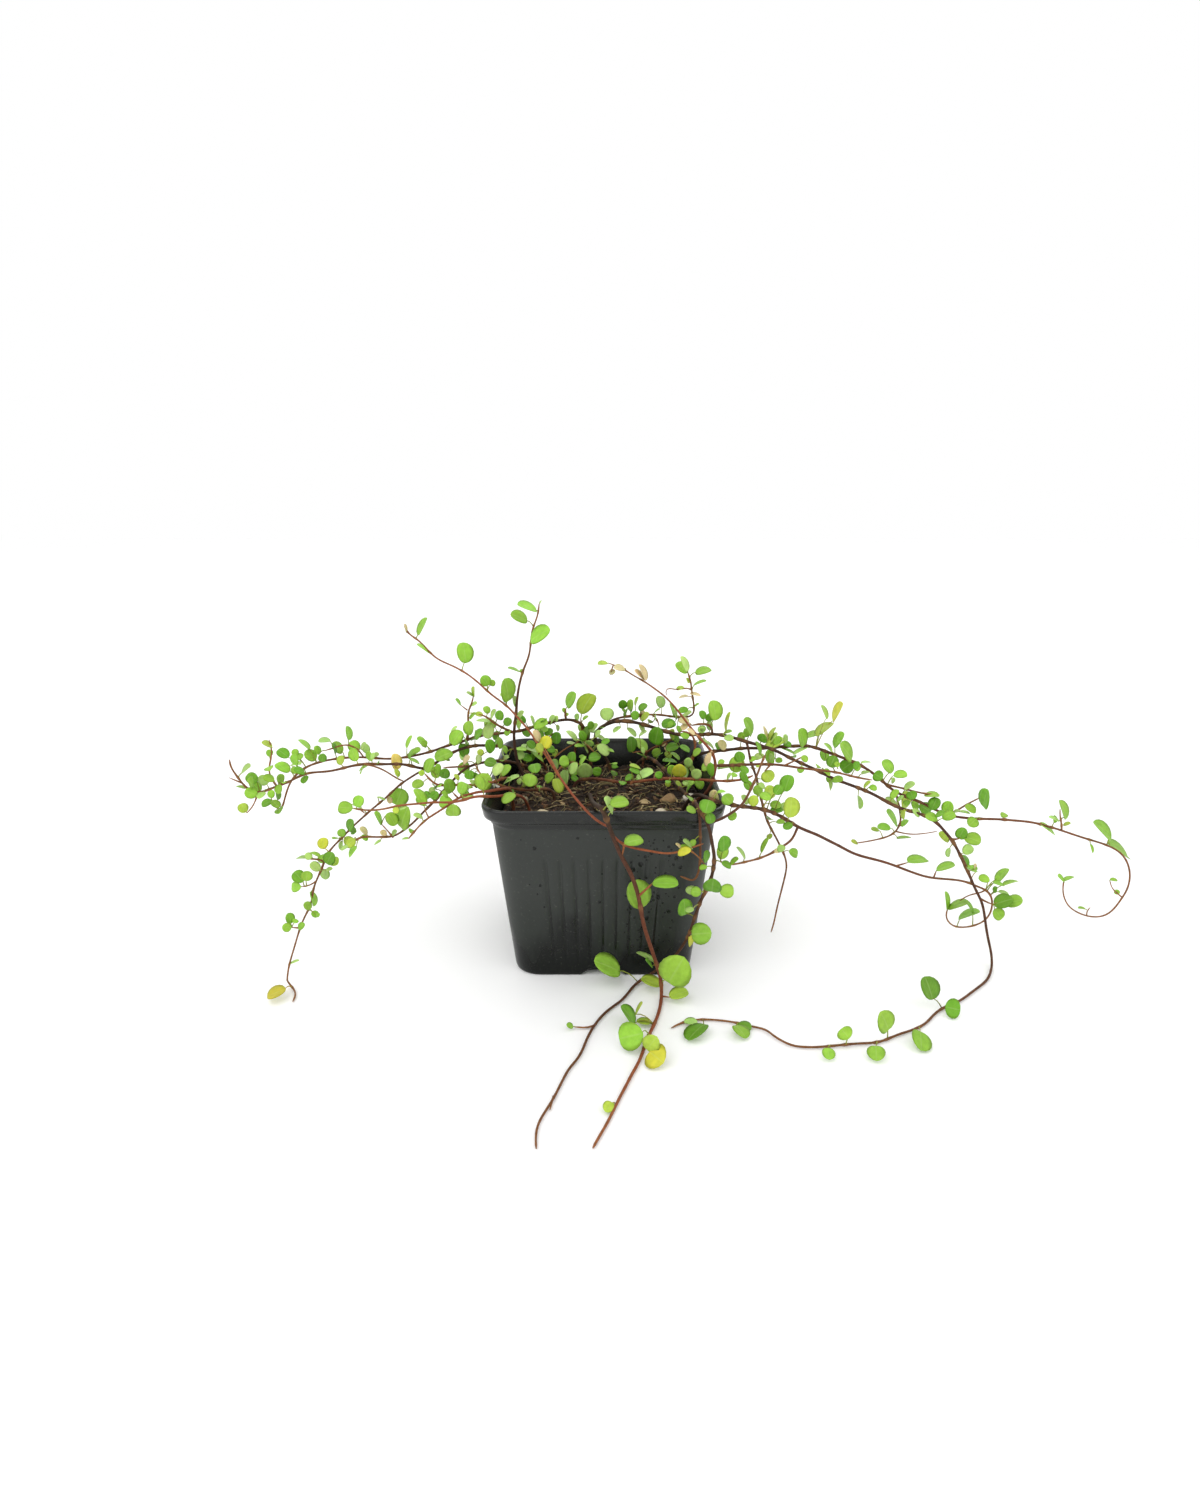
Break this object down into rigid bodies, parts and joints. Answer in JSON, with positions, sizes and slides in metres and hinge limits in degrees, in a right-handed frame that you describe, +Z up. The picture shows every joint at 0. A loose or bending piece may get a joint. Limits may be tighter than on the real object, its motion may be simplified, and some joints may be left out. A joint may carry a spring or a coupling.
{
  "type": "potted wire vine",
  "caption": "Wiry trailing vine with small rounded leaves, growing in a small square nursery pot of soil and pebbles.",
  "frame": {"origin": "centre of the pot's underside, on the surface it stands on", "axes": "+Z up; -Y towards the side of the pot seen in front; +X to the right, along the longest runners"},
  "size_m": [0.4073, 0.1891, 0.1593],
  "materials": {
    "pot": "satin",
    "soil": "rough",
    "pebble": "matt",
    "vine": "satin"
  },
  "bodies": {
    "root": {"pot": "pot", "soil": "soil", "pebble_white": "pebble", "pebble_tan": "pebble", "pebble_cream": "pebble", "pebble_buff": "pebble", "pebble_grey": "pebble", "pebble_rim": "pebble", "pebble_back": "pebble", "front_trail": "vine", "left_arch": "vine", "left_spray": "vine", "left_low": "vine", "left_drop": "vine", "left_front": "vine", "left_brown": "vine", "upright": "vine", "back_runner": "vine", "far_curl": "vine", "mid_runner": "vine", "low_runner": "vine", "cross_runner": "vine", "withered_shoot": "vine", "red_bar": "vine", "soil_runner": "vine", "spray_left": "vine", "spray_mid": "vine", "spray_back": "vine", "spray_right": "vine", "brown_shoot": "vine"}
  },
  "joints": []
}
